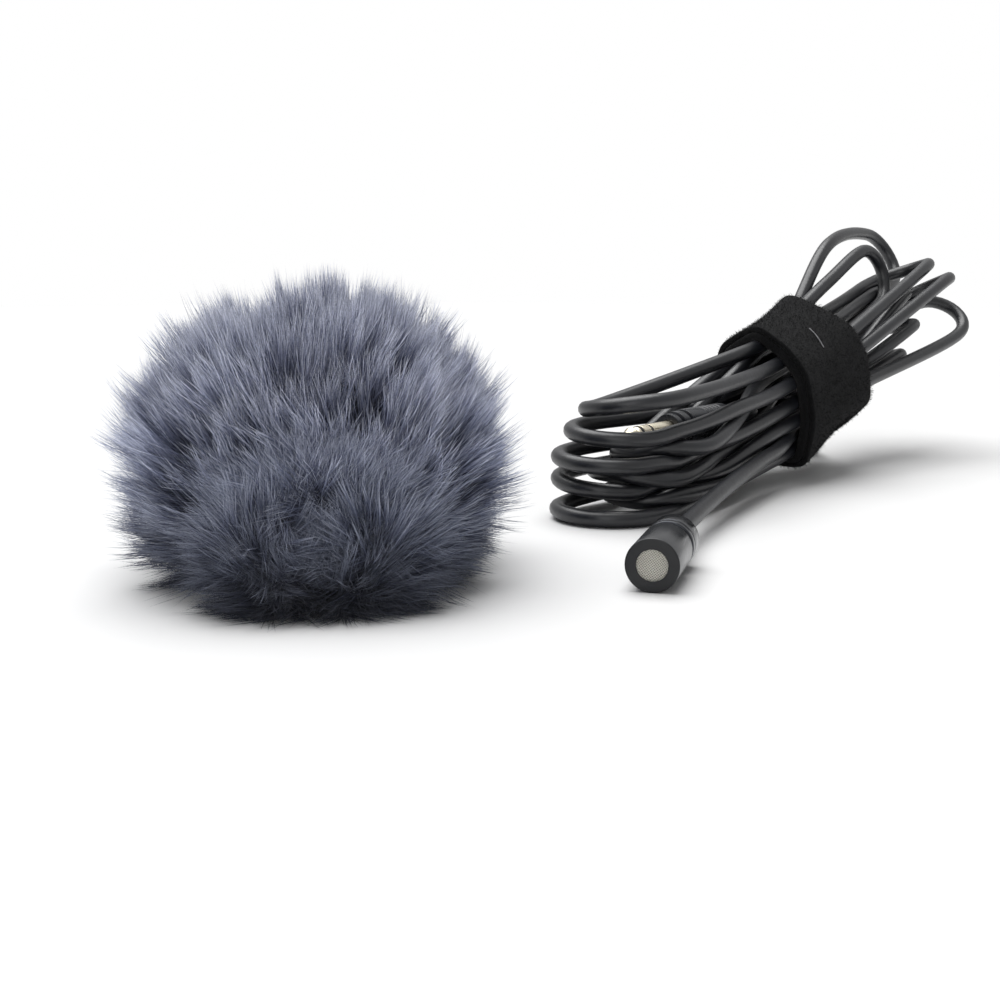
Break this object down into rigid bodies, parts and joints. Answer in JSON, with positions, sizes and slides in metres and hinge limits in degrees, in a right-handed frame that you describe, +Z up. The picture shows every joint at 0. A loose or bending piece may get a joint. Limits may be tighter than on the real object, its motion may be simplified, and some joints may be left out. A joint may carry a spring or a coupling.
{
  "type": "lavalier microphone",
  "caption": "Lavalier microphone with its cable folded in a tied hank, a 3.5 mm plug on the cable's end, and a furry windscreen that lifts off the table beside it.",
  "frame": {"origin": "on the table, under the middle of the box that holds the mic head and the windscreen", "axes": "+Z up; +X from the windscreen to the mic head; the mic's face looks along -Y and the hank lies behind it towards +Y"},
  "size_m": [0.1262, 0.2091, 0.0461],
  "materials": {
    "anodised": "matt black anodised",
    "polished_collar": "bright black anodised",
    "wire_mesh": "woven stainless wire",
    "felt": "thin grey felt",
    "capsule_metal": "drawn aluminium",
    "gold_plate": "gold plated",
    "black_plastic": "moulded black",
    "board": "green solder mask",
    "black_rubber": "soft black moulding",
    "red_insulation": "red wire insulation",
    "copper": "stranded copper",
    "cord_jacket": "smooth satin black jacket",
    "hook_and_loop": "black looped pile",
    "plug_moulding": "semi-gloss black moulding",
    "faux_fur": "long blue-grey faux fur",
    "knit": "knitted backing",
    "elastic": "covered elastic cord"
  },
  "bodies": {
    "microphone": {"front_cap": "anodised", "mesh_grille": "wire_mesh", "dust_felt": "felt", "capsule_can": "capsule_metal", "capsule_diaphragm": "gold_plate", "capsule_spacer": "black_plastic", "capsule_backplate": "capsule_metal", "capsule_holder": "black_plastic", "capsule_board": "board", "fet_chip": "black_plastic", "capsule_sleeve": "black_rubber", "rear_body": "anodised", "rear_collar": "polished_collar", "cable_boot": "black_rubber", "signal_wire": "red_insulation", "shield_wire": "copper", "cord_lead": "cord_jacket", "cord_hank": "cord_jacket", "tie_strip": "hook_and_loop", "tie_hook_tab": "hook_and_loop", "plug_tail": "black_rubber", "plug_barrel": "plug_moulding", "jack_sleeve": "gold_plate", "jack_ring": "gold_plate", "jack_tip": "gold_plate", "sleeve_insulator": "black_plastic", "tip_insulator": "black_plastic"},
    "windscreen": {"fur_cover": "faux_fur", "knit_liner": "knit", "neck_elastic": "elastic"}
  },
  "joints": [
    {"name": "windscreen_lift", "type": "slide", "parent": "microphone", "child": "windscreen", "axis": [0, 0, 1], "range_m": [0, 0.07]}
  ]
}
